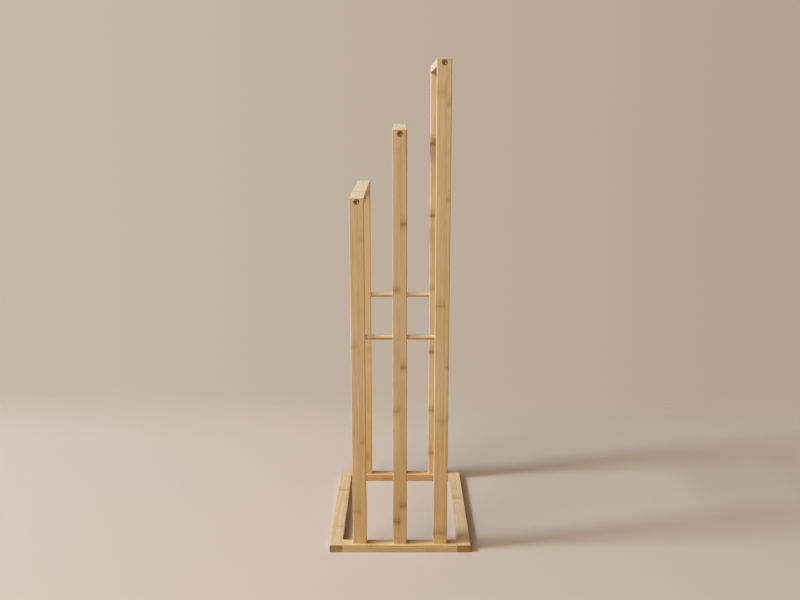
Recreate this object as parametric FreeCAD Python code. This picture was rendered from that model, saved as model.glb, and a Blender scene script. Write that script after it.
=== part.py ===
# Bamboo towel rack: three towel bars of rising height, each on a front and a rear post,
# over a flat base frame. Millimetres, +Z up, origin on the floor under the middle of the base.
# The rack is seen from -Y; +X runs from the short bar to the tall one.
import FreeCAD, Part
import math
import os

from FreeCAD import Vector

os.makedirs("parts", exist_ok=True)

# Heights of the bar tops above the floor
short_height = 607.0
middle_height = 713.0
tall_height = 820.0

# Plan of the rack
post_pitch = 68.6        # from one bar's middle to the next
side_gap = 18.1          # clear floor between an outer post and the side rail
bar_length = 285.0       # clear span between front and rear posts

# Bamboo sticks of posts and bars
stick_width = 23.5
stick_thick = 13.5
stick_round = 1.5        # rounding of the long edges
post_top_ease = 1.1      # easing round the sawn top of a post

# Base frame, rounded after it is glued up
side_rail_width = 22.8
end_rail_width = 21.0
rail_thick = 13.2
rail_round = 0.9
frame_corner_round = 2.0

# Round brace through the posts of each end
brace_diameter = 8.0
front_brace_height = 378.5
rear_brace_height = 385.5
brace_seat = 12.0        # length of the brace inside an outer post
brace_chamfer = 0.8

# Hex-socket bolt that holds a bar's end
bolt_diameter = 5.0
bolt_length = 25.0
bolt_head_diameter = 8.5
bolt_head_height = 5.0
bolt_head_sunk = 0.4     # head face below the face of the post
bolt_hex = 4.0           # across flats
bolt_hex_depth = 2.6
bolt_chamfer = 0.6

# Threaded insert in a bar's end
insert_diameter = 8.0
insert_length = 12.0
insert_sunk = 0.5
insert_chamfer = 0.6
insert_slot = 1.2
insert_slot_depth = 1.4

# Locating pin beside the bolt
pin_diameter = 3.0
pin_length = 14.0
pin_offset = 7.6         # from the bolt's axis
pin_chamfer = 0.4

# Countersunk screw up into the foot of a post
screw_diameter = 4.0
screw_length = 40.0
screw_head_diameter = 7.6
screw_head_land = 0.5
screw_head_sunk = 0.6
screw_tip = 5.0
screw_cross_width = 1.0
screw_cross_span = 4.4
screw_cross_depth = 1.6

# Wooden dowels in the feet of the posts
foot_dowel_diameter = 5.0
foot_dowel_length = 24.0
foot_dowel_in_rail = 9.0
foot_dowel_offset = 7.2  # from the screw's axis
dowel_chamfer = 0.7

# Wooden dowels in the corners of the base
corner_dowel_diameter = 6.0
corner_dowel_length = 30.0
corner_dowel_spread = 11.0

# Clearances
glue_fit = 0.1           # round a dowel, pin or insert, on the radius
bolt_fit = 0.35          # round bolts and screws, on the radius
thread_fit = 0.05        # between bolt and insert, on the radius
end_gap = 0.5            # past the end of a dowel, pin or bolt

# Sizes that follow
rail_inner_x = post_pitch + stick_width / 2 + side_gap
base_width = 2 * (rail_inner_x + side_rail_width)
post_centre_y = (bar_length + stick_thick) / 2
base_depth = 2 * post_centre_y + end_rail_width
window_half_y = base_depth / 2 - end_rail_width
bolt_seat = bolt_head_sunk + bolt_head_height
bolt_reach = bolt_seat + bolt_length - stick_thick
brace_length = 2 * post_pitch - stick_width + 2 * brace_seat

BARS = (
    ("short", -post_pitch, short_height),
    ("middle", 0.0, middle_height),
    ("tall", post_pitch, tall_height),
)
ENDS = (
    ("front", -1, front_brace_height),
    ("rear", 1, rear_brace_height),
)
SIDES = (("left", -1), ("right", 1))


def turned(profile):
    """Solid of revolution about Z from (radius, height) points."""
    points = [Vector(radius, 0, height) for radius, height in profile]
    face = Part.Face(Part.makePolygon(points + points[:1]))
    return face.revolve(Vector(0, 0, 0), Vector(0, 0, 1), 360)


def placed(shape, point, direction):
    """Copy of a shape with its own +Z turned to direction and its origin put at point."""
    copy = shape.copy()
    copy.Placement = FreeCAD.Placement(point, FreeCAD.Rotation(Vector(0, 0, 1), direction))
    return copy


def hole(point, direction, diameter, depth):
    """Drill from a face; it starts a little outside so that the mouth is open."""
    start = point - direction * end_gap
    return Part.makeCylinder(diameter / 2, depth + end_gap, start, direction)


def box(x_range, y_range, z_range):
    sizes = [high - low for low, high in (x_range, y_range, z_range)]
    return Part.makeBox(*sizes, Vector(x_range[0], y_range[0], z_range[0]))


def edges_along(shape, axis):
    """Straight edges of a box-like shape that run along an axis."""
    found = []
    for edge in shape.Edges:
        first, last = edge.Vertexes[0].Point, edge.Vertexes[-1].Point
        run = last - first
        if run.Length > 1e-6 and abs(run.dot(axis)) > 0.999 * run.Length:
            found.append(edge)
    return found


def edges_at_height(shape, height):
    return [edge for edge in shape.Edges
            if abs(edge.BoundBox.ZMin - height) < 1e-6 and abs(edge.BoundBox.ZMax - height) < 1e-6]


X_AXIS = Vector(1, 0, 0)
Y_AXIS = Vector(0, 1, 0)
Z_AXIS = Vector(0, 0, 1)


def peg(diameter, length, chamfer):
    """Round peg along +Z with both ends chamfered."""
    radius = diameter / 2
    return turned([
        (0, 0), (radius - chamfer, 0), (radius, chamfer),
        (radius, length - chamfer), (radius - chamfer, length), (0, length),
    ])


def bar_bolt():
    """Cylinder-head bolt with its head face at Z = 0 and its shank towards +Z."""
    head, shank = bolt_head_diameter / 2, bolt_diameter / 2
    tip = bolt_head_height + bolt_length
    body = turned([
        (0, 0), (head - bolt_chamfer, 0), (head, bolt_chamfer), (head, bolt_head_height),
        (shank, bolt_head_height), (shank, tip - bolt_chamfer), (shank - bolt_chamfer, tip), (0, tip),
    ])
    corner = bolt_hex / math.sqrt(3)
    ring = [Vector(corner * math.cos(math.radians(60 * k)), corner * math.sin(math.radians(60 * k)), 0)
            for k in range(6)]
    socket = Part.Face(Part.makePolygon(ring + ring[:1])).extrude(Vector(0, 0, bolt_hex_depth))
    return body.cut(socket)


def threaded_insert():
    """Sleeve with its slotted mouth at Z = 0."""
    outer, bore = insert_diameter / 2, bolt_diameter / 2 + thread_fit
    sleeve = turned([
        (bore, 0), (outer - insert_chamfer, 0), (outer, insert_chamfer),
        (outer, insert_length - insert_chamfer), (outer - insert_chamfer, insert_length),
        (bore, insert_length),
    ])
    slot = box((-insert_diameter, insert_diameter), (-insert_slot / 2, insert_slot / 2),
               (-end_gap, insert_slot_depth))
    return sleeve.cut(slot)


def foot_screw():
    """Countersunk screw with its head face at Z = 0 and its point at +Z."""
    head, shank = screw_head_diameter / 2, screw_diameter / 2
    neck = screw_head_land + head - shank
    body = turned([
        (0, 0), (head, 0), (head, screw_head_land), (shank, neck),
        (shank, screw_length - screw_tip), (0, screw_length),
    ])
    half_span, half_width = screw_cross_span / 2, screw_cross_width / 2
    deep = (-end_gap, screw_cross_depth)
    cross = box((-half_span, half_span), (-half_width, half_width), deep)
    cross = cross.fuse(box((-half_width, half_width), (-half_span, half_span), deep))
    return body.cut(cross)


def screw_hole():
    """Clearance and countersink for the foot screw, from the underside at Z = 0."""
    head = screw_head_diameter / 2 + bolt_fit
    shank = screw_diameter / 2 + bolt_fit
    land = screw_head_sunk + screw_head_land
    return turned([
        (0, -end_gap), (head, -end_gap), (head, land), (shank, land + head - shank),
        (shank, rail_thick + end_gap), (0, rail_thick + end_gap),
    ])


def foot_points(x, side):
    """Axis of the screw and of the two dowels under one post, at floor height."""
    y = side * post_centre_y
    screw = Vector(x, y, 0)
    dowels = [Vector(x + step * foot_dowel_offset, y, 0) for step in (-1, 1)]
    return screw, dowels


def bolt_axis(x, height, side):
    """Point on the outer face of a post and the way the bolt goes in."""
    y = side * (post_centre_y + stick_thick / 2)
    return Vector(x, y, height - stick_thick / 2), Y_AXIS * -side


def post(x, height, side, brace_height):
    half_x, half_y = stick_width / 2, stick_thick / 2
    y = side * post_centre_y
    body = box((x - half_x, x + half_x), (y - half_y, y + half_y), (rail_thick, height))
    body = body.makeFillet(stick_round, edges_along(body, Z_AXIS))
    body = body.makeFillet(post_top_ease, edges_at_height(body, height))

    face, inward = bolt_axis(x, height, side)
    inner = face + inward * stick_thick
    cuts = [
        hole(face, inward, bolt_head_diameter + 2 * bolt_fit, bolt_seat),
        hole(face, inward, bolt_diameter + 2 * bolt_fit, stick_thick + end_gap),
        hole(inner + X_AXIS * pin_offset, inward * -1, pin_diameter + 2 * glue_fit,
             pin_length / 2 + end_gap),
    ]

    screw, dowels = foot_points(x, side)
    foot = Vector(0, 0, rail_thick)
    screw_top = screw_head_sunk + screw_length
    cuts.append(hole(screw + foot, Z_AXIS, screw_diameter + 2 * glue_fit, screw_top - rail_thick + end_gap))
    dowel_in_post = foot_dowel_length - foot_dowel_in_rail
    for point in dowels:
        cuts.append(hole(point + foot, Z_AXIS, foot_dowel_diameter + 2 * glue_fit, dowel_in_post + end_gap))

    reach = brace_length / 2 + end_gap
    cuts.append(Part.makeCylinder(brace_diameter / 2 + glue_fit, 2 * reach,
                                  Vector(-reach, y, brace_height), X_AXIS))
    return body.cut(cuts)


def towel_bar(x, height):
    half_x = stick_width / 2
    body = box((x - half_x, x + half_x), (-bar_length / 2, bar_length / 2), (height - stick_thick, height))
    body = body.makeFillet(stick_round, edges_along(body, Y_AXIS))
    cuts = []
    for _, side, _ in ENDS:
        face, inward = bolt_axis(x, height, side)
        end = face + inward * stick_thick
        cuts += [
            hole(end, inward, insert_diameter + 2 * glue_fit, insert_sunk + insert_length),
            hole(end, inward, bolt_diameter + 2 * bolt_fit, bolt_reach + end_gap),
            hole(end + X_AXIS * pin_offset, inward, pin_diameter + 2 * glue_fit, pin_length / 2 + end_gap),
        ]
    return body.cut(cuts)


def corner_points(side_x, side_y):
    """Middles of the two dowels across one corner joint of the base."""
    y = side_y * post_centre_y
    return [Vector(side_x * rail_inner_x, y + step * corner_dowel_spread / 2, rail_thick / 2)
            for step in (-1, 1)]


def base_frame():
    """Whole base frame, rounded as one, before it is parted at the corner joints."""
    half_x, half_y = base_width / 2, base_depth / 2
    frame = box((-half_x, half_x), (-half_y, half_y), (0, rail_thick))
    frame = frame.makeFillet(frame_corner_round, edges_along(frame, Z_AXIS))
    window = box((-rail_inner_x, rail_inner_x), (-window_half_y, window_half_y),
                 (-end_gap, rail_thick + end_gap))
    frame = frame.cut(window)
    rims = edges_at_height(frame, 0) + edges_at_height(frame, rail_thick)
    frame = frame.makeFillet(rail_round, rims)

    cuts = []
    for _, x, _ in BARS:
        for _, side, _ in ENDS:
            screw, dowels = foot_points(x, side)
            cuts.append(placed(screw_hole(), screw, Z_AXIS))
            for point in dowels:
                top = point + Vector(0, 0, rail_thick)
                cuts.append(hole(top, Z_AXIS * -1, foot_dowel_diameter + 2 * glue_fit,
                                 foot_dowel_in_rail + end_gap))
    length = corner_dowel_length + 2 * end_gap
    for _, side_x in SIDES:
        for _, side_y, _ in ENDS:
            for middle in corner_points(side_x, side_y):
                cuts.append(Part.makeCylinder(corner_dowel_diameter / 2 + glue_fit, length,
                                              middle - X_AXIS * (length / 2), X_AXIS))
    return frame.cut(cuts)


nodes = {}

frame = base_frame()
deep = base_depth
tall = (-rail_thick, 2 * rail_thick)
for name, side in SIDES:
    span = sorted((side * rail_inner_x, side * base_width))
    nodes["base_" + name + "_rail"] = frame.common(box(span, (-deep, deep), tall))
for name, side, _ in ENDS:
    span = sorted((0, side * deep))
    nodes["base_" + name + "_rail"] = frame.common(box((-rail_inner_x, rail_inner_x), span, tall))

for bar, x, height in BARS:
    nodes[bar + "_towel_bar"] = towel_bar(x, height)

for end, side, brace_height in ENDS:
    bolts = []
    inserts = []
    pins = []
    screws = []
    foot_dowels = []
    corner_dowels = []
    for bar, x, height in BARS:
        nodes[end + "_" + bar + "_post"] = post(x, height, side, brace_height)

        face, inward = bolt_axis(x, height, side)
        inner = face + inward * stick_thick
        bolts.append(placed(bar_bolt(), face + inward * bolt_head_sunk, inward))
        inserts.append(placed(threaded_insert(), inner + inward * insert_sunk, inward))
        pin_start = inner + X_AXIS * pin_offset - inward * (pin_length / 2)
        pins.append(placed(peg(pin_diameter, pin_length, pin_chamfer), pin_start, inward))

        screw, dowels = foot_points(x, side)
        screws.append(placed(foot_screw(), screw + Z_AXIS * screw_head_sunk, Z_AXIS))
        foot_dowel = peg(foot_dowel_diameter, foot_dowel_length, dowel_chamfer)
        for point in dowels:
            start = point + Z_AXIS * (rail_thick - foot_dowel_in_rail)
            foot_dowels.append(placed(foot_dowel, start, Z_AXIS))

    corner_dowel = peg(corner_dowel_diameter, corner_dowel_length, dowel_chamfer)
    for _, side_x in SIDES:
        for middle in corner_points(side_x, side):
            start = middle - X_AXIS * (corner_dowel_length / 2)
            corner_dowels.append(placed(corner_dowel, start, X_AXIS))

    brace_start = Vector(-brace_length / 2, side * post_centre_y, brace_height)
    nodes[end + "_brace"] = placed(peg(brace_diameter, brace_length, brace_chamfer), brace_start, X_AXIS)
    groups = (("bar_bolts", bolts), ("bar_inserts", inserts), ("bar_pins", pins),
              ("post_screws", screws), ("post_dowels", foot_dowels), ("corner_dowels", corner_dowels))
    for name, solids in groups:
        nodes[end + "_" + name] = Part.makeCompound(solids)

for name, shape in nodes.items():
    shape.exportStep("parts/" + name + ".step")
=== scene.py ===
"""Bamboo towel rack, finished for the camera: laminated bamboo sticks with their knuckles and sawn
ends, round braces, and the bolts, inserts, screws and dowels that hold them, on a pale floor
under soft light from the left."""
import math

import bpy
from mathutils import Matrix, Vector


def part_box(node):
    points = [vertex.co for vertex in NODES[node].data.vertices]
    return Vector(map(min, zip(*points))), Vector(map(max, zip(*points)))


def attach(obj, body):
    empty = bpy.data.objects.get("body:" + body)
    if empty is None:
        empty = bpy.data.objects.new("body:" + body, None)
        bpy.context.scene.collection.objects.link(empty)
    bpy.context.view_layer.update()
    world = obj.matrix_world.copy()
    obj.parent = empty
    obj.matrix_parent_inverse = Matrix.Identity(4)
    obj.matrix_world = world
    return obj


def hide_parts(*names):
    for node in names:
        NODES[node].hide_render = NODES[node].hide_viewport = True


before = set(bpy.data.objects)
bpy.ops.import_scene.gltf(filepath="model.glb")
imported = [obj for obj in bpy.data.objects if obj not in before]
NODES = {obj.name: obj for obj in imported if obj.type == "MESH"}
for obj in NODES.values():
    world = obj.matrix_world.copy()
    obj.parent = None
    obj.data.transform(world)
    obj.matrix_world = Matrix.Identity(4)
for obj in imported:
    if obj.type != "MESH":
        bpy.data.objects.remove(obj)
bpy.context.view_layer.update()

MM = 0.001
ENDS = (("front", -1), ("rear", 1))
BARS = ("short", "middle", "tall")

# Camera, fitted to the corners of the rack
CAMERA_PLACE = (2.2 * MM, -1583.8 * MM, 757.2 * MM)
CAMERA_PITCH = 0.2172
CAMERA_YAW = 0.0013
CAMERA_LENS = 40.78
CAMERA_SENSOR = 36.0

# Light, in metres; of the places of the two fills only the direction counts
KEY_PLACE = (-6.55, -1.15, 5.62)
KEY_SIZE = 1.55
KEY_POWER = 590.0
GLOW_PLACE = (-4.9, -3.8, 5.2)
GLOW_SIZE = 6.5
GLOW_POWER = 405.0
FRONT_PLACE = (0.85, -0.52, 0.06)
FRONT_STRENGTH = 0.82
REAR_PLACE = (0.1, 0.99, 0.05)
REAR_STRENGTH = 0.75
FILL_ANGLE = math.radians(10)
AMBIENT_STRENGTH = 0.20
AMBIENT_SLANT = 0.40       # share by which it is stronger from the left, and weaker from the right

# Floor and backdrop, metres
FLOOR_RADIUS = 7.0
FLOOR_SIDES = 96
FLOOR_ROUGH = 0.7
FLOOR_FADE = (0.36, 0.80)  # the floor fades into the backdrop between these distances behind
FLOOR_EDGE = (0.9, 2.2)    # and between these all round
FLOOR_FALLOFF_SPAN = 0.35          # reach of the floor's painted light falloff to each side
BACKDROP_FALLOFF_SPAN = 0.32       # and of the backdrop's painted falloff, as a share of the distance

# Colours, sRGB
KEY_COOL = "#E4F3FF"
GLOW_SOFT = "#F8F2E6"
FILL_SOFT = "#FFE4C0"
FILL_WARM = "#FFD3A0"
BAMBOO_STRAW = "#EFD9B4"
BAMBOO_HONEY = "#C9AA7A"
BAMBOO_AMBER = "#D6AA6E"
# painted reflection: the bars' pale greyish colour stands in for the whitish sheen along their tops
BAMBOO_PALE_SHEEN = "#C8BCB4"
BAMBOO_SAND = "#C9AC86"
KNUCKLE_TINT = "#CDAA7E"   # what is left of the bamboo's colour at the darkest knuckle
FOOT_BOUNCE_TINT = "#FBEFDA"      # painted warm bounce from the floor: what is left of it at the foot of a post
GLUE_LINE = "#9B6F3A"
SAWN_END = ("#A8804E", "#BF9969", "#7E5228")    # ground, paler patches and fibre bundles
POST_TOP_END = ("#DECAAA", "#E8D8BE", "#C6A67A")  # the same on the tops of the posts, paler
BEECH = "#D9B98C"
BEECH_FLECK = "#B98C5C"
BOLT_STEEL = "#A1886E"
ZINC_STEEL = "#C4C0B4"
BRASS = "#C9A35A"
# Floor painted a little darker to the right: painted falloff of the light from the left
FLOOR_LEFT = "#CEC2BA"
FLOOR_RIGHT = "#CAC0B4"
FLOOR_BOUNCE = "#735A40"
# Backdrop painted darker to the right: painted falloff of the light from the left
BACKDROP_LEFT = "#C5B8A8"
BACKDROP_RIGHT = "#B5A492"

# Noises of all materials
DETAIL_SOFT = 1.0
DETAIL_PLAIN = 2.0
DETAIL_FINE = 3.0
NOISE_SPAN = (0.3, 0.7)    # most values of a noise lie between these

# Bamboo figure, millimetres
STREAK_WIDTH = 2.4         # bands of one shade, as wide as it takes to show
FIBRE_WIDTH = 0.8          # single fibres, drawn coarse so that they show
STREAK_RUN = 60.0          # streaks are this many times longer than wide
FIBRE_RUN = 28.0           # and fibres
BLOTCH_SIZE = 60.0
SCAR_HALF = 3.4            # half height of a knuckle's dark middle
HALO_ABOVE = 19.0          # reach of the shade above it, and below it
HALO_BELOW = 11.0
KNUCKLE_WAVE = 3.0         # knuckles wander up and down by this much, over the size that follows
WAVE_SIZE = 7.0
BACK_SHIFT = 97.0          # knuckles of the strips behind are so much lower
FAR = 9000.0               # puts the points of one strip out of reach of the other's knuckles
BUNDLE_SPACING = 1.1       # fibre bundles on the ends
END_PATCH = 5.0
GLUE_WIDTH = 0.5
FOOT_BOUNCE_REACH = (40.0, 330.0)  # the painted floor bounce at a post's foot fades out between these heights
STRIP_SEED = 13.7          # steps between the noises of strips, and of sticks
STICK_SEED = 71.3

# Bamboo figure, shares
STREAK_TONE = 1.1          # how far each of these four moves the tone
FIBRE_TONE = 1.05
STRIP_TONE = 0.10
BLOTCH_TONE = 0.3
TONE_MIDDLE = 1.275        # half their sum, taken off so that the tone stays the stick's own
SCAR_SHARE = 0.55
HALO_SHARE = 1.0
HALO_STREAKS = (0.6, 1.3)  # the streaks thin and deepen the shade of a knuckle between these
GLUE_SHARE = 0.25
END_FACING = (0.75, 0.95)  # end grain comes in as a face turns to the end of the stick
PATCH_SPAN = (0.4, 0.65)
BUNDLE_SPAN = (0.15, 0.45)
BAMBOO_ROUGH = (0.52, 0.66)
END_ROUGHER = 0.25
BAMBOO_SPECULAR = 0.12
SCAR_RELIEF = -0.8         # knuckles lie lower than the fibres round them
BAMBOO_BUMP = 0.25
BAMBOO_BUMP_DEPTH = 0.15   # millimetres

# Beech, millimetres and shares
FLECK_LENGTH = 9.0
FLECK_WIDTH = 0.5
FLECK_SPAN = (0.45, 0.7)
BEECH_ROUGH = 0.62
BEECH_BUMP = 0.3
BEECH_BUMP_DEPTH = 0.1

# Metals, millimetres and shares
MOTTLE_SIZE = 0.8
METAL_SMOOTHER = 0.06      # the mottle makes a metal smoother and rougher by these
METAL_ROUGHER = 0.08
METAL_DULL = 0.82          # what is left of its colour in the low spots
BOLT_ROUGH = 0.48
ZINC_ROUGH = 0.3
BRASS_ROUGH = 0.28

# Each stick's tone from straw (0) to its deep colour (1), that colour, where its two strips meet,
# from its middle, and for each strip its knuckles: place along the stick and darkness. Places on
# posts are heights above the floor; the rest count from the middle.
STICKS = {
    "front_short_post": (0.43, BAMBOO_HONEY, 1.5,
                         ((363, 0.25), (74, 0.3)),
                         ((542, 0.15), (198, 0.25))),
    "front_middle_post": (0.58, BAMBOO_HONEY, 0.8,
                          ((682, 0.15), (457.5, 0.5), (252.5, 0.42), (54.5, 0.55)),
                          ((564.5, 0.6), (328, 0.5), (84, 0.52))),
    "front_tall_post": (0.485, BAMBOO_HONEY, 4.5,
                        ((769, 0.2), (432, 0.3), (236, 0.2), (34, 0.4)),
                        ((750, 0.35), (604, 0.35), (329, 0.4), (236, 0.2), (34, 0.3))),
    "rear_short_post": (0.46, BAMBOO_AMBER, -1.0,
                        ((165, 0.2), (405, 0.3)),
                        ((48, 0.15), (276, 0.15))),
    "rear_middle_post": (0.40, BAMBOO_HONEY, 0.6,
                         ((118, 0.4), (344, 0.5), (570, 0.5)),
                         ((222, 0.4), (462, 0.5))),
    "rear_tall_post": (0.22, BAMBOO_HONEY, 6.0,
                       ((678, 1.0), (541, 0.75), (398, 0.25), (271, 0.6), (150, 0.5), (59, 0.45)),
                       ((700, 0.5), (462, 0.5), (230, 0.4))),
    # The bars' deep colour is a painted sheen, paler and greyer than the bamboo
    "short_towel_bar": (0.40, BAMBOO_PALE_SHEEN, 1.0, ((-60, 0.2),), ((64, 0.2),)),
    "middle_towel_bar": (0.40, BAMBOO_PALE_SHEEN, -1.2, ((40, 0.3),), ((-88, 0.3),)),
    "tall_towel_bar": (0.38, BAMBOO_PALE_SHEEN, 0.4, ((-20, 0.4),), ((100, 0.4),)),
    "base_left_rail": (0.76, BAMBOO_SAND, 9.0, ((67, 0.3), (-91, 0.2)), ((-40, 0.3),)),
    "base_right_rail": (0.63, BAMBOO_SAND, -10.0, ((-70, 0.3),), ((28, 0.35), (-120, 0.15))),
    "base_front_rail": (0.66, BAMBOO_HONEY, 1.0, ((48, 0.25),), ((-60, 0.25),)),
    "base_rear_rail": (0.80, BAMBOO_AMBER, -0.5, ((-30, 0.3),), ((62, 0.3),)),
    "front_brace": (0.47, BAMBOO_HONEY, 20.0, ((55, 0.2),), ()),
    "rear_brace": (0.49, BAMBOO_HONEY, 20.0, ((-30, 0.2),), ()),
}

# Hex-socket bolt, millimetres along its axis from the face of the head
BOLT_SUNK = 0.4            # head face below the face of the post
BOLT_HEAD = 4.25
BOLT_HEAD_HEIGHT = 5.0
BOLT_NECK = 0.6
RIM_WIDTH = 0.75           # the head's eased rim: how far in it starts, its shoulder, its depth
RIM_SHOULDER = (0.25, 0.18)
RIM_DEPTH = 0.7
BOLT_CORE = 2.05
BOLT_CREST = 2.5
BOLT_PITCH = 0.8
BOLT_LAND = 0.125          # flat of the thread's crest, as a share of the pitch
BOLT_RUNOUT = 0.2          # length between the neck and the first full thread
BOLT_TIP = 30.0
BOLT_TIP_CHAMFER = 0.6
BOLT_TIP_NARROW = 0.75
HEX_SIDES = 6
HEX_CORNER = 2.31
HEX_DEPTH = 2.6
HEX_CONE = 0.9
HEX_CONE_TIP = 0.1
HEX_SPARE = 0.5            # the cutter stands out of the head by this
SOCKET_MOUTH = 2.85        # radius of the cone that eases the socket's edge
MOUTH_ABOVE = 0.3          # the cone's cutter reaches so far out of the head, and into it
MOUTH_BELOW = 1.2
KNURL_DEPTH = 0.12
KNURL_BORDER = 0.05
HEAD_SIDES = 48

# Threaded insert
INSERT_SUNK = 0.5
INSERT_LENGTH = 12.0
INSERT_CORE = 3.3
INSERT_CREST = 4.0
INSERT_PITCH = 2.0
INSERT_ROOT = 0.5          # flat of the thread's root and width of a flank, as shares of the pitch
INSERT_FLANK = 0.22
INSERT_BORE = 2.55
INSERT_BORE_SIDES = 32
INSERT_BORE_SPARE = 1.0    # the cutter stands out at both ends by this
INSERT_SLOT = 1.2
INSERT_SLOT_DEPTH = 1.4
INSERT_SLOT_SPAN = 16.0    # longer than the insert is wide, so that the slot runs out
INSERT_CHAMFER = 0.6
INSERT_NARROW = 0.9

# Countersunk screw
SCREW_SUNK = 0.6
SCREW_HEAD = 3.8
SCREW_LAND = 0.5
SCREW_CORE = 1.35
SCREW_CREST = 2.0
SCREW_PITCH = 1.8
SCREW_TOOTH = (0.55, 0.75, 0.8)  # end of root, start and end of crest, as shares of the pitch
SCREW_RUNOUT = 0.4
SCREW_LENGTH = 40.0
SCREW_POINT = 4.0
SCREW_POINT_NARROW = 0.04
CROSS_SPAN = 4.4
CROSS_WIDTH = 1.0
CROSS_DEPTH = 1.8
CROSS_TAPER = (0.3, 0.6)   # what is left of the recess's length and width at its bottom

# Fluted dowels: diameter, length
FOOT_DOWEL = (5.0, 24.0)
FOOT_DOWEL_IN_RAIL = 9.0
FOOT_DOWEL_OFFSET = 7.2
CORNER_DOWEL = (6.0, 30.0)
CORNER_DOWEL_SPREAD = 11.0
DOWEL_CHAMFER = 0.7
DOWEL_FLUTES = 18
FLUTE_DEPTH = 0.22
FLUTE_BORDER = 0.12

# Modelling of all fasteners
THREAD_STEPS = 24          # flats in one turn of a thread
THREAD_LEAD = 1.5          # turns wound before the start of a thread, and then trimmed off
THREAD_SPARE = 3           # turns wound more than a thread has
WELD = 0.001               # millimetres within which points are merged
LEVEL = 0.01               # and within which heights count as the same
FACING_UP = 0.9            # upright part of a face's normal, at least, for an end
FACING_OUT = 0.1           # and at most, for a flat of the side
SMOOTH_ANGLE = math.radians(35)
SPIN_START = 0.35          # turn of the first bolt, and from one to the next, radians
SPIN_STEP = 0.9


def linear(hex_colour):
    """Linear RGBA of an sRGB hex colour."""
    parts = [int(hex_colour[k:k + 2], 16) / 255 for k in (1, 3, 5)]
    return [c / 12.92 if c <= 0.04045 else ((c + 0.055) / 1.055) ** 2.4 for c in parts] + [1.0]


def node(tree, kind, *values, sockets=None, **settings):
    """Adds a shader node with its properties, fills or links its sockets in order or by name,
    and gives its first output."""
    made = tree.nodes.new("ShaderNode" + kind)
    for name, value in settings.items():
        setattr(made, name, value)
    usable = [socket for socket in made.inputs if socket.enabled]
    named = {socket.name: socket for socket in reversed(usable)}
    pairs = list(zip(usable, values))
    pairs += [(named[name], value) for name, value in (sockets or {}).items()]
    for socket, value in pairs:
        if isinstance(value, bpy.types.NodeSocket):
            tree.links.new(value, socket)
        else:
            socket.default_value = value
    return next((socket for socket in made.outputs if socket.enabled), made)


def new_material(name):
    """Material with an empty node tree, and that tree."""
    material = bpy.data.materials.new(name)
    material.use_nodes = True
    material.node_tree.nodes.clear()
    return material, material.node_tree


def dress(mesh, material):
    """Gives a mesh one material all over."""
    mesh.materials.clear()
    mesh.materials.append(material)


def stick_axes(name):
    """Middle of a stick, and unit vectors along its width, its thickness and its length."""
    low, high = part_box(name)
    size = high - low
    shortest_first = sorted(range(3), key=lambda axis: size[axis])
    across, along = [Vector([float(k == axis) for k in range(3)]) for axis in shortest_first[1:]]
    return (low + high) / 2, across, along.cross(across), along


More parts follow.
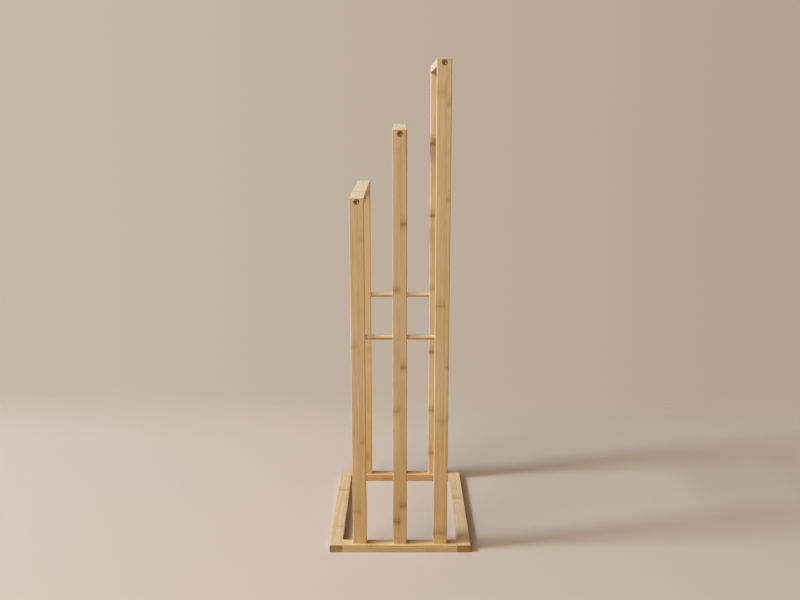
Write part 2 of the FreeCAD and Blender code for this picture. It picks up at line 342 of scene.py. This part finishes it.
def bamboo(name, number):
    """Laminated bamboo, planed and lacquered satin: straight pale streaks, two pairs of strips of
    slightly different shade glued together, soft brown knuckles that each cross one strip, and
    dotted end grain, dark where a rail is sawn across and pale on the tops of the posts."""
    tone, deep, joint, left_knuckles, right_knuckles = STICKS[name]
    middle, across, through, along = stick_axes(name)
    raised = middle.z / MM if name.endswith("_post") else 0.0
    end_ground, end_patch, end_dot = POST_TOP_END if raised else SAWN_END
    material, tree = new_material("bamboo_" + name)

    # Millimetres across, through and along the stick, from its middle
    coords = node(tree, "TexCoord").node.outputs
    turn = Matrix((across, through, along)).transposed().to_euler()
    local = node(tree, "Mapping", coords["Object"], middle, turn, (MM, MM, MM),
                 vector_type="TEXTURE")
    u, v, s = node(tree, "SeparateXYZ", local).node.outputs

    # Which of its four strips a point is in
    right = node(tree, "Math", u, joint, operation="GREATER_THAN")
    back = node(tree, "Math", v, 0.0, operation="GREATER_THAN")
    strip = node(tree, "Math", back, 2.0, right, operation="MULTIPLY_ADD")
    seed = node(tree, "Math", strip, STRIP_SEED, number * STICK_SEED, operation="MULTIPLY_ADD")
    shade = node(tree, "TexWhiteNoise", seed, noise_dimensions="1D")

    # Streaks and fibres, stretched along the stick and different in every strip
    shift = node(tree, "CombineXYZ", seed, seed, seed)
    placed = node(tree, "VectorMath", local, shift, operation="ADD")
    drawn = node(tree, "VectorMath", placed, (1, 1, 1 / STREAK_RUN), operation="MULTIPLY")
    streak = node(tree, "TexNoise", sockets={"Vector": drawn, "Scale": 1 / STREAK_WIDTH,
                                             "Detail": DETAIL_PLAIN})
    drawn = node(tree, "VectorMath", placed, (1, 1, 1 / FIBRE_RUN), operation="MULTIPLY")
    fibre = node(tree, "TexNoise", sockets={"Vector": drawn, "Scale": 1 / FIBRE_WIDTH,
                                            "Detail": DETAIL_FINE})
    blotch = node(tree, "TexNoise", sockets={"Vector": placed, "Scale": 1 / BLOTCH_SIZE,
                                             "Detail": DETAIL_SOFT})

    # Knuckles, on slightly wavy lines
    wave = node(tree, "TexNoise", sockets={"Vector": placed, "Scale": 1 / WAVE_SIZE,
                                           "Detail": DETAIL_SOFT})
    run = node(tree, "Math", wave, KNUCKLE_WAVE, raised - KNUCKLE_WAVE / 2,
               operation="MULTIPLY_ADD")
    run = node(tree, "Math", run, s, operation="ADD")
    run = node(tree, "Math", back, BACK_SHIFT, run, operation="MULTIPLY_ADD")
    run = node(tree, "Math", right, FAR, run, operation="MULTIPLY_ADD")
    halo, scar = 0.0, 0.0
    for start, knuckles in ((0.0, left_knuckles), (FAR, right_knuckles)):
        for place, dark in knuckles:
            gap = node(tree, "Math", run, start + place, operation="SUBTRACT")
            above = node(tree, "MapRange", gap, 0.0, HALO_ABOVE, dark, 0.0,
                         interpolation_type="SMOOTHSTEP")
            under = node(tree, "MapRange", gap, -HALO_BELOW, 0.0, 0.0, HALO_SHARE,
                         interpolation_type="SMOOTHSTEP")
            halo = node(tree, "Math", above, under, halo, operation="MULTIPLY_ADD")
            near = node(tree, "Math", gap, operation="ABSOLUTE")
            near = node(tree, "MapRange", near, 0.0, SCAR_HALF, dark, 0.0,
                        interpolation_type="SMOOTHSTEP")
            scar = node(tree, "Math", near, SCAR_SHARE, scar, operation="MULTIPLY_ADD")
    streaky = node(tree, "MapRange", streak, *NOISE_SPAN, *HALO_STREAKS)
    knuckle = node(tree, "Math", halo, streaky, scar, operation="MULTIPLY_ADD", use_clamp=True)

    # Colour along the grain
    grain = node(tree, "Math", streak, STREAK_TONE, tone - TONE_MIDDLE, operation="MULTIPLY_ADD")
    grain = node(tree, "Math", fibre, FIBRE_TONE, grain, operation="MULTIPLY_ADD")
    grain = node(tree, "Math", shade, STRIP_TONE, grain, operation="MULTIPLY_ADD")
    grain = node(tree, "Math", blotch, BLOTCH_TONE, grain, operation="MULTIPLY_ADD",
                 use_clamp=True)
    colour = node(tree, "Mix", grain, linear(BAMBOO_STRAW), linear(deep), data_type="RGBA")
    colour = node(tree, "Mix", knuckle, colour, linear(KNUCKLE_TINT), data_type="RGBA",
                  blend_type="MULTIPLY")
    # Painted bounce light: a post turns warmer and a little darker towards its foot, as if lit by
    # the floor
    if raised:
        height = node(tree, "Math", s, raised, operation="ADD")
        warm = node(tree, "MapRange", height, *FOOT_BOUNCE_REACH, 1.0, 0.0,
                    interpolation_type="SMOOTHSTEP")
        colour = node(tree, "Mix", warm, colour, linear(FOOT_BOUNCE_TINT), data_type="RGBA",
                      blend_type="MULTIPLY")
    seam = node(tree, "Math", u, joint, operation="SUBTRACT")
    seam = node(tree, "Math", seam, operation="ABSOLUTE")
    seam = node(tree, "MapRange", seam, 0.0, GLUE_WIDTH, GLUE_SHARE, 0.0)
    colour = node(tree, "Mix", seam, colour, linear(GLUE_LINE), data_type="RGBA")

    # Ends across the grain
    facing = node(tree, "VectorMath", coords["Normal"], along, operation="DOT_PRODUCT")
    facing = node(tree, "Math", facing.node.outputs["Value"], operation="ABSOLUTE")
    sawn = node(tree, "MapRange", facing, *END_FACING, 0.0, 1.0, interpolation_type="SMOOTHSTEP")
    patch = node(tree, "TexNoise", sockets={"Vector": placed, "Scale": 1 / END_PATCH,
                                            "Detail": DETAIL_SOFT})
    patch = node(tree, "MapRange", patch, *PATCH_SPAN, 0.0, 1.0, interpolation_type="SMOOTHSTEP")
    end = node(tree, "Mix", patch, linear(end_ground), linear(end_patch), data_type="RGBA")
    bundle = node(tree, "TexVoronoi", sockets={"Vector": placed, "Scale": 1 / BUNDLE_SPACING})
    bundle = node(tree, "MapRange", bundle, *BUNDLE_SPAN, 1.0, 0.0,
                  interpolation_type="SMOOTHSTEP")
    end = node(tree, "Mix", bundle, end, linear(end_dot), data_type="RGBA")
    colour = node(tree, "Mix", sawn, colour, end, data_type="RGBA")

    # Satin sheen, with the fibres and knuckles just felt
    rough = node(tree, "MapRange", fibre, *NOISE_SPAN, *BAMBOO_ROUGH)
    rough = node(tree, "Math", sawn, END_ROUGHER, rough, operation="MULTIPLY_ADD")
    relief = node(tree, "Math", scar, SCAR_RELIEF, fibre, operation="MULTIPLY_ADD")
    bump = node(tree, "Bump", sockets={"Height": relief, "Strength": BAMBOO_BUMP,
                                       "Distance": BAMBOO_BUMP_DEPTH * MM})
    surface = node(tree, "BsdfPrincipled", sockets={"Base Color": colour, "Roughness": rough,
                                                    "Specular IOR Level": BAMBOO_SPECULAR,
                                                    "Normal": bump})
    node(tree, "OutputMaterial", surface)
    return material


def beech(name, grain_axis):
    """Turned beech dowel: pale, with short darker flecks along the grain."""
    material, tree = new_material(name)
    coords = node(tree, "TexCoord").node.outputs
    stretch = [1 / (FLECK_LENGTH * MM) if axis == grain_axis else 1 / (FLECK_WIDTH * MM)
               for axis in "XYZ"]
    drawn = node(tree, "VectorMath", coords["Object"], stretch, operation="MULTIPLY")
    fleck = node(tree, "TexNoise", sockets={"Vector": drawn, "Scale": 1.0,
                                            "Detail": DETAIL_PLAIN})
    amount = node(tree, "MapRange", fleck, *FLECK_SPAN, 0.0, 1.0)
    colour = node(tree, "Mix", amount, linear(BEECH), linear(BEECH_FLECK), data_type="RGBA")
    bump = node(tree, "Bump", sockets={"Height": fleck, "Strength": BEECH_BUMP,
                                       "Distance": BEECH_BUMP_DEPTH * MM})
    surface = node(tree, "BsdfPrincipled", sockets={"Base Color": colour,
                                                    "Roughness": BEECH_ROUGH, "Normal": bump})
    node(tree, "OutputMaterial", surface)
    return material


def metal(name, hex_colour, roughness):
    """Plated steel or turned brass: a fine mottle in its sheen, and slightly duller low spots."""
    material, tree = new_material(name)
    coords = node(tree, "TexCoord").node.outputs
    mottle = node(tree, "TexNoise", sockets={"Vector": coords["Object"],
                                             "Scale": 1 / (MOTTLE_SIZE * MM),
                                             "Detail": DETAIL_PLAIN})
    rough = node(tree, "MapRange", mottle, *NOISE_SPAN, roughness - METAL_SMOOTHER,
                 roughness + METAL_ROUGHER)
    dull = [METAL_DULL * part for part in linear(hex_colour)[:3]] + [1.0]
    colour = node(tree, "Mix", mottle, dull, linear(hex_colour), data_type="RGBA")
    surface = node(tree, "BsdfPrincipled", sockets={"Base Color": colour, "Metallic": 1.0,
                                                    "Roughness": rough})
    node(tree, "OutputMaterial", surface)
    return material


def turned(outline, sides):
    """Body turned about Z from (radius, height) points: a disc, then a ring extruded per point."""
    bpy.ops.object.select_all(action="DESELECT")
    radius, height = outline[0]
    bpy.ops.mesh.primitive_circle_add(vertices=sides, radius=radius, fill_type="NGON",
                                      location=(0, 0, 0))
    body = bpy.context.object
    bpy.ops.object.mode_set(mode="EDIT")
    bpy.ops.transform.translate(value=(0, 0, height))
    for next_radius, next_height in outline[1:]:
        rise = (0, 0, next_height - height)
        bpy.ops.mesh.extrude_region_move(TRANSFORM_OT_translate={"value": rise})
        grow = next_radius / radius
        bpy.ops.transform.resize(value=(grow, grow, 1), center_override=(0, 0, next_height))
        radius, height = next_radius, next_height
    bpy.ops.mesh.select_all(action="SELECT")
    bpy.ops.mesh.normals_make_consistent(inside=False)
    bpy.ops.object.mode_set(mode="OBJECT")
    return body


def thread(tooth, pitch, low, high):
    """Open-ended rod from low to high with a tooth, an outline of (radius, height) points one pitch
    tall, wound round it. It is left in edit mode with its upper rim selected."""
    bpy.ops.object.select_all(action="DESELECT")
    bpy.ops.mesh.primitive_plane_add(size=1.0, location=(0, 0, 0))
    rod = bpy.context.object
    bpy.ops.object.mode_set(mode="EDIT")
    bpy.ops.mesh.select_mode(type="VERT")
    bpy.ops.mesh.select_all(action="SELECT")
    bpy.ops.mesh.merge(type="CENTER")
    at = Vector((tooth[0][0], 0, tooth[0][1] + low - pitch * THREAD_LEAD))
    bpy.ops.transform.translate(value=at)
    for radius, height in tooth[1:]:
        step = Vector((radius, 0, height + low - pitch * THREAD_LEAD)) - at
        bpy.ops.mesh.extrude_vertices_move(TRANSFORM_OT_translate={"value": step})
        at += step
    bpy.ops.object.mode_set(mode="OBJECT")

    helix = rod.modifiers.new("helix", "SCREW")
    helix.axis = "Z"
    helix.screw_offset = pitch
    helix.iterations = math.ceil((high - low) / pitch) + THREAD_SPARE
    helix.steps = helix.render_steps = THREAD_STEPS
    bpy.ops.object.modifier_apply(modifier="helix")

    bpy.ops.object.mode_set(mode="EDIT")
    bpy.ops.mesh.select_mode(type="EDGE")
    bpy.ops.mesh.select_all(action="SELECT")
    bpy.ops.mesh.remove_doubles(threshold=WELD)
    bpy.ops.mesh.bisect(plane_co=(0, 0, low), plane_no=(0, 0, 1), clear_inner=True)
    bpy.ops.mesh.select_all(action="SELECT")
    bpy.ops.mesh.bisect(plane_co=(0, 0, high), plane_no=(0, 0, 1), clear_outer=True)
    return rod


def close_rim(rise, narrow, level):
    """Draws the selected rim out by rise to narrow times its width, and closes it."""
    bpy.ops.mesh.extrude_region_move(TRANSFORM_OT_translate={"value": (0, 0, rise)})
    bpy.ops.transform.resize(value=(narrow, narrow, 1), center_override=(0, 0, level + rise))
    bpy.ops.mesh.edge_face_add()


def select_faces(body, wanted):
    """Selects the faces whose middle and normal are wanted, and leaves the body in edit mode."""
    bpy.context.view_layer.objects.active = body
    bpy.ops.object.mode_set(mode="EDIT")
    bpy.ops.mesh.select_mode(type="FACE")
    bpy.ops.mesh.select_all(action="DESELECT")
    bpy.ops.object.mode_set(mode="OBJECT")
    for face in body.data.polygons:
        face.select = wanted(face.center, face.normal)
    bpy.ops.object.mode_set(mode="EDIT")


def press_flutes(body, sides, low, high, border, depth):
    """Presses every second flat of a turned body inwards between two heights."""
    def every_second_flat(middle, normal):
        flat = math.floor(math.atan2(middle.y, middle.x) / math.tau * sides)
        return flat % 2 == 0 and abs(normal.z) < FACING_OUT and low < middle.z < high
    select_faces(body, every_second_flat)
    bpy.ops.mesh.inset(thickness=border, depth=-depth, use_individual=True)
    bpy.ops.object.mode_set(mode="OBJECT")


def cut_away(body, *cutters):
    """Cuts each cutter's shape out of a body, and removes the cutter."""
    for cutter in cutters:
        bpy.context.view_layer.objects.active = body
        cut = body.modifiers.new("cut", "BOOLEAN")
        cut.object = cutter
        cut.operation = "DIFFERENCE"
        cut.solver = "EXACT"
        bpy.ops.object.modifier_apply(modifier="cut")
        bpy.data.objects.remove(cutter)


def join_to_rod(head, rod, neck):
    """Opens the head's end at the neck and bridges it to the rod's open rim."""
    bpy.ops.object.mode_set(mode="OBJECT")
    select_faces(head, lambda middle, normal: normal.z > FACING_UP and abs(middle.z - neck) < LEVEL)
    bpy.ops.mesh.delete(type="ONLY_FACE")
    bpy.ops.object.mode_set(mode="OBJECT")
    bpy.ops.object.select_all(action="DESELECT")
    rod.select_set(True)
    head.select_set(True)
    bpy.context.view_layer.objects.active = head
    bpy.ops.object.join()
    bpy.ops.object.mode_set(mode="EDIT")
    bpy.ops.mesh.select_mode(type="EDGE")
    bpy.ops.mesh.select_all(action="DESELECT")
    bpy.ops.mesh.select_non_manifold()
    bpy.ops.mesh.bridge_edge_loops()
    bpy.ops.mesh.select_all(action="SELECT")
    bpy.ops.mesh.normals_make_consistent(inside=False)
    bpy.ops.object.mode_set(mode="OBJECT")
    return head


def hex_bolt():
    """Cylinder-head bolt: knurled head with an eased rim, hex socket with a coned mouth and
    bottom."""
    neck = BOLT_HEAD_HEIGHT + BOLT_NECK
    shoulder_in, shoulder_depth = RIM_SHOULDER
    head = turned([(BOLT_HEAD - RIM_WIDTH, 0), (BOLT_HEAD - shoulder_in, shoulder_depth),
                   (BOLT_HEAD, RIM_DEPTH), (BOLT_HEAD, BOLT_HEAD_HEIGHT),
                   (BOLT_CREST, BOLT_HEAD_HEIGHT), (BOLT_CORE, neck)], HEAD_SIDES)
    press_flutes(head, HEAD_SIDES, RIM_DEPTH, BOLT_HEAD_HEIGHT, KNURL_BORDER, KNURL_DEPTH)
    mouth = turned([(SOCKET_MOUTH + MOUTH_ABOVE, -MOUTH_ABOVE),
                    (SOCKET_MOUTH - MOUTH_BELOW, MOUTH_BELOW)], HEAD_SIDES)
    socket = turned([(HEX_CORNER, -HEX_SPARE), (HEX_CORNER, HEX_DEPTH),
                     (HEX_CONE_TIP, HEX_DEPTH + HEX_CONE)], HEX_SIDES)
    cut_away(head, mouth, socket)

    half, land = BOLT_PITCH / 2, BOLT_PITCH * BOLT_LAND
    tooth = [(BOLT_CORE, 0), (BOLT_CREST, half - land / 2), (BOLT_CREST, half + land / 2),
             (BOLT_CORE, BOLT_PITCH - land), (BOLT_CORE, BOLT_PITCH)]
    rod = thread(tooth, BOLT_PITCH, neck + BOLT_RUNOUT, BOLT_TIP - BOLT_TIP_CHAMFER)
    close_rim(BOLT_TIP_CHAMFER, BOLT_TIP_NARROW, BOLT_TIP - BOLT_TIP_CHAMFER)
    return join_to_rod(head, rod, neck)


def threaded_insert():
    """Brass insert: coarse outside thread for wood, plain bore and a driving slot across its
    mouth."""
    root, flank = INSERT_PITCH * INSERT_ROOT, INSERT_PITCH * INSERT_FLANK
    tooth = [(INSERT_CORE, 0), (INSERT_CORE, root), (INSERT_CREST, root + flank),
             (INSERT_CREST, INSERT_PITCH - flank), (INSERT_CORE, INSERT_PITCH)]
    low, high = INSERT_CHAMFER, INSERT_LENGTH - INSERT_CHAMFER
    sleeve = thread(tooth, INSERT_PITCH, low, high)
    close_rim(INSERT_CHAMFER, INSERT_NARROW, high)
    bpy.ops.mesh.select_all(action="DESELECT")
    bpy.ops.mesh.select_non_manifold()
    close_rim(-INSERT_CHAMFER, INSERT_NARROW, low)
    bpy.ops.mesh.select_all(action="SELECT")
    bpy.ops.mesh.normals_make_consistent(inside=False)
    bpy.ops.object.mode_set(mode="OBJECT")
    bore = turned([(INSERT_BORE, -INSERT_BORE_SPARE),
                   (INSERT_BORE, INSERT_LENGTH + INSERT_BORE_SPARE)], INSERT_BORE_SIDES)
    bpy.ops.object.select_all(action="DESELECT")
    bpy.ops.mesh.primitive_cube_add(size=1.0, location=(0, 0, 0))
    slot = bpy.context.object
    bpy.ops.transform.resize(value=(INSERT_SLOT_SPAN, INSERT_SLOT, 2 * INSERT_SLOT_DEPTH))
    cut_away(sleeve, bore, slot)
    return sleeve


def foot_screw():
    """Countersunk wood screw: cross recess, coarse sharp thread, drawn-out point."""
    neck = SCREW_LAND + SCREW_HEAD - SCREW_CORE
    head = turned([(SCREW_HEAD, 0), (SCREW_HEAD, SCREW_LAND), (SCREW_CORE, neck)], HEAD_SIDES)
    wings = []
    for turn in (0, math.pi / 2):
        bpy.ops.object.select_all(action="DESELECT")
        bpy.ops.mesh.primitive_cube_add(size=1.0, location=(0, 0, 0))
        wing = bpy.context.object
        bpy.ops.object.mode_set(mode="EDIT")
        bpy.ops.transform.resize(value=(CROSS_SPAN, CROSS_WIDTH, 2 * CROSS_DEPTH))
        select_faces(wing, lambda middle, normal: normal.z > FACING_UP)
        bpy.ops.transform.resize(value=(*CROSS_TAPER, 1), center_override=(0, 0, CROSS_DEPTH))
        bpy.ops.object.mode_set(mode="OBJECT")
        wing.rotation_euler.z = turn
        wings.append(wing)
    cut_away(head, *wings)

    root_end, crest_start, crest_end = [SCREW_PITCH * share for share in SCREW_TOOTH]
    tooth = [(SCREW_CORE, 0), (SCREW_CORE, root_end), (SCREW_CREST, crest_start),
             (SCREW_CREST, crest_end), (SCREW_CORE, SCREW_PITCH)]
    shoulder = SCREW_LENGTH - SCREW_POINT
    rod = thread(tooth, SCREW_PITCH, neck + SCREW_RUNOUT, shoulder)
    close_rim(SCREW_POINT, SCREW_POINT_NARROW, shoulder)
    return join_to_rod(head, rod, neck)


def fluted_dowel(diameter, length):
    """Beech dowel with chamfered ends and flutes that let the glue out."""
    radius, sides = diameter / 2, 2 * DOWEL_FLUTES
    low, high = DOWEL_CHAMFER, length - DOWEL_CHAMFER
    dowel = turned([(radius - DOWEL_CHAMFER, 0), (radius, low), (radius, high),
                    (radius - DOWEL_CHAMFER, length)], sides)
    press_flutes(dowel, sides, low, high, FLUTE_BORDER, FLUTE_DEPTH)
    return dowel


def fit_copies(model, name, stands_for, material, places):
    """Copies a model to each place, a matrix in metres with millimetres inside, as one piece."""
    copies = []
    for place in places:
        bpy.ops.object.select_all(action="DESELECT")
        model.select_set(True)
        bpy.context.view_layer.objects.active = model
        bpy.ops.object.duplicate()
        copy = bpy.context.object
        copy.matrix_world = place @ Matrix.Scale(MM, 4)
        copies.append(copy)
    bpy.ops.object.select_all(action="DESELECT")
    for copy in copies:
        copy.select_set(True)
    bpy.context.view_layer.objects.active = copies[0]
    bpy.ops.object.transform_apply(location=True, rotation=True, scale=True)
    bpy.ops.object.join()
    piece = bpy.context.object
    piece.name = name
    bpy.ops.object.shade_smooth_by_angle(angle=SMOOTH_ANGLE)
    dress(piece.data, material)
    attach(piece, "root")
    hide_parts(stands_for)


def fasteners():
    """Bolts and inserts at both ends of each bar, screws and dowels under each post, and dowels
    across the corners of the base, each where its CAD node is."""
    bolt, insert, screw = hex_bolt(), threaded_insert(), foot_screw()
    foot_dowel, corner_dowel = fluted_dowel(*FOOT_DOWEL), fluted_dowel(*CORNER_DOWEL)
    black = metal("dark_plated_steel", BOLT_STEEL, BOLT_ROUGH)
    zinc = metal("zinc_plated_steel", ZINC_STEEL, ZINC_ROUGH)
    brass = metal("turned_brass", BRASS, BRASS_ROUGH)
    upright_beech, level_beech = beech("beech_foot_dowel", "Z"), beech("beech_corner_dowel", "X")

    rail_low, rail_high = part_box("base_right_rail")
    rail_top = rail_high.z
    for end, side in ENDS:
        bolts, inserts, screws, foot_dowels, corner_dowels = [], [], [], [], []
        inward = Matrix.Rotation(side * math.pi / 2, 4, "X")
        for number, bar in enumerate(BARS):
            low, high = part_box(end + "_" + bar + "_post")
            middle = (low + high) / 2
            thick = high.y - low.y
            outer = middle.y + side * thick / 2
            spin = Matrix.Rotation(SPIN_START + SPIN_STEP * number + side, 4, "Z")
            axis_height = high.z - thick / 2
            bolt_at = Vector((middle.x, outer - side * BOLT_SUNK * MM, axis_height))
            insert_at = Vector((middle.x, outer - side * (thick + INSERT_SUNK * MM), axis_height))
            bolts.append(Matrix.Translation(bolt_at) @ inward @ spin)
            inserts.append(Matrix.Translation(insert_at) @ inward @ spin)
            screws.append(Matrix.Translation((middle.x, middle.y, SCREW_SUNK * MM)) @ spin)
            for step in (-1, 1):
                start = Vector((middle.x + step * FOOT_DOWEL_OFFSET * MM, middle.y,
                                rail_top - FOOT_DOWEL_IN_RAIL * MM))
                foot_dowels.append(Matrix.Translation(start))
        along_x = Matrix.Rotation(math.pi / 2, 4, "Y")
        for rail_side in (-1, 1):
            for step in (-1, 1):
                start = Vector((rail_side * rail_low.x - CORNER_DOWEL[1] / 2 * MM,
                                middle.y + step * CORNER_DOWEL_SPREAD / 2 * MM, rail_top / 2))
                corner_dowels.append(Matrix.Translation(start) @ along_x)
        for model, name, stands_for, slot, material, places in (
                (bolt, "_hex_bolts", "_bar_bolts", "bolt_steel", black, bolts),
                (insert, "_threaded_inserts", "_bar_inserts", "insert_brass", brass, inserts),
                (screw, "_foot_screws", "_post_screws", "screw_steel", zinc, screws),
                (foot_dowel, "_foot_dowels", "_post_dowels", "dowel_wood", upright_beech,
                 foot_dowels),
                (corner_dowel, "_rail_dowels", "_corner_dowels", "dowel_wood", level_beech,
                 corner_dowels)):
            fit_copies(model, end + name, end + stands_for, material, places)
        dress(NODES[end + "_bar_pins"].data, zinc)
    for model in (bolt, insert, screw, foot_dowel, corner_dowel):
        bpy.data.objects.remove(model)


def shown_rays(tree):
    """1 for rays that show the floor and backdrop, to the camera or in gloss or glass, else 0."""
    ray = node(tree, "LightPath").node.outputs
    seen = node(tree, "Math", ray["Is Camera Ray"], ray["Is Glossy Ray"], operation="MAXIMUM")
    return node(tree, "Math", seen, ray["Is Transmission Ray"], operation="MAXIMUM")


def floor():
    """Pale matt studio floor, painted a little darker to the right as the light falls off, which
    fades into the backdrop and gives back less light than it shows."""
    bpy.ops.object.select_all(action="DESELECT")
    bpy.ops.mesh.primitive_circle_add(vertices=FLOOR_SIDES, radius=FLOOR_RADIUS, fill_type="NGON",
                                      location=(0, 0, 0))
    disc = bpy.context.object
    disc.name = "studio_floor"
    material, tree = new_material("matt_floor")
    coords = node(tree, "TexCoord").node.outputs["Object"]
    across, behind, _ = node(tree, "SeparateXYZ", coords).node.outputs
    out = node(tree, "VectorMath", coords, operation="LENGTH").node.outputs["Value"]
    edge = node(tree, "MapRange", out, *FLOOR_EDGE, 0.0, 1.0, interpolation_type="SMOOTHSTEP")
    fade = node(tree, "MapRange", behind, *FLOOR_FADE, 0.0, 1.0, interpolation_type="SMOOTHSTEP")
    fade = node(tree, "Math", fade, edge, operation="MAXIMUM")
    # Painted falloff: darker to the right, away from the lamps
    aside = node(tree, "MapRange", across, -FLOOR_FALLOFF_SPAN, FLOOR_FALLOFF_SPAN, 0.0, 1.0,
                 interpolation_type="SMOOTHSTEP")
    shown = node(tree, "Mix", aside, linear(FLOOR_LEFT), linear(FLOOR_RIGHT), data_type="RGBA")
    seen = shown_rays(tree)
    fade = node(tree, "Math", fade, seen, operation="MULTIPLY")
    colour = node(tree, "Mix", seen, linear(FLOOR_BOUNCE), shown, data_type="RGBA")
    surface = node(tree, "BsdfPrincipled", sockets={"Base Color": colour,
                                                    "Roughness": FLOOR_ROUGH})
    clear = node(tree, "BsdfTransparent")
    node(tree, "OutputMaterial", node(tree, "MixShader", fade, surface, clear))
    dress(disc.data, material)


def lights():
    """A narrow key from the left gives the shadows their edges, and a wide glow beside it, more to
    the front, softens them. Two fills, one from the right front and one from behind, are almost
    level, so they light what these leave dark and hardly reach the floor; they don't show in gloss.
    A warm ambient light comes from all round, and the backdrop, painted darker to the right as the
    light falls off, only shows, and lights nothing."""
    key = {"shape": "DISK", "size": KEY_SIZE, "energy": KEY_POWER}
    glow = {"shape": "DISK", "size": GLOW_SIZE, "energy": GLOW_POWER}
    front = {"angle": FILL_ANGLE, "energy": FRONT_STRENGTH}
    rear = {"angle": FILL_ANGLE, "energy": REAR_STRENGTH}
    for name, kind, place, colour, settings in (
            ("key_light", "AREA", KEY_PLACE, KEY_COOL, key),
            ("key_glow", "AREA", GLOW_PLACE, GLOW_SOFT, glow),
            ("front_fill", "SUN", FRONT_PLACE, FILL_SOFT, front),
            ("rear_fill", "SUN", REAR_PLACE, FILL_SOFT, rear)):
        lamp = bpy.data.objects.new(name, bpy.data.lights.new(name, kind))
        bpy.context.scene.collection.objects.link(lamp)
        for setting, value in settings.items():
            setattr(lamp.data, setting, value)
        lamp.data.color = linear(colour)[:3]
        lamp.location = place
        lamp.rotation_euler = (-lamp.location).to_track_quat("-Z", "Y").to_euler()
        lamp.visible_camera = False
        lamp.visible_glossy = kind == "AREA"

    world = bpy.data.worlds.new("studio")
    bpy.context.scene.world = world
    world.use_nodes = True
    tree = world.node_tree
    tree.nodes.clear()
    seen = shown_rays(tree)
    aside = node(tree, "SeparateXYZ", node(tree, "TexCoord"))
    slant = node(tree, "MapRange", aside, -1.0, 1.0, 1 + AMBIENT_SLANT, 1 - AMBIENT_SLANT)
    slant = node(tree, "Math", slant, AMBIENT_STRENGTH, operation="MULTIPLY")
    fill = node(tree, "Background", linear(FILL_WARM), slant)
    # Painted falloff: the backdrop darker to the right
    aside = node(tree, "MapRange", aside, -BACKDROP_FALLOFF_SPAN, BACKDROP_FALLOFF_SPAN, 0.0, 1.0)
    beige = node(tree, "Mix", aside, linear(BACKDROP_LEFT), linear(BACKDROP_RIGHT),
                 data_type="RGBA")
    backdrop = node(tree, "Background", beige, 1.0)
    node(tree, "OutputWorld", node(tree, "MixShader", seen, fill, backdrop))


def camera():
    """Camera at the fitted place, looking a little down."""
    data = bpy.data.cameras.new("camera")
    data.lens = CAMERA_LENS
    data.sensor_width = CAMERA_SENSOR
    view = bpy.data.objects.new("camera", data)
    bpy.context.scene.collection.objects.link(view)
    view.location = CAMERA_PLACE
    view.rotation_euler = (math.pi / 2 - CAMERA_PITCH, 0, CAMERA_YAW)
    bpy.context.scene.camera = view


for number, name in enumerate(STICKS):
    dress(NODES[name].data, bamboo(name, number))
fasteners()

floor()
lights()
camera()
bpy.context.scene.view_settings.view_transform = "Standard"
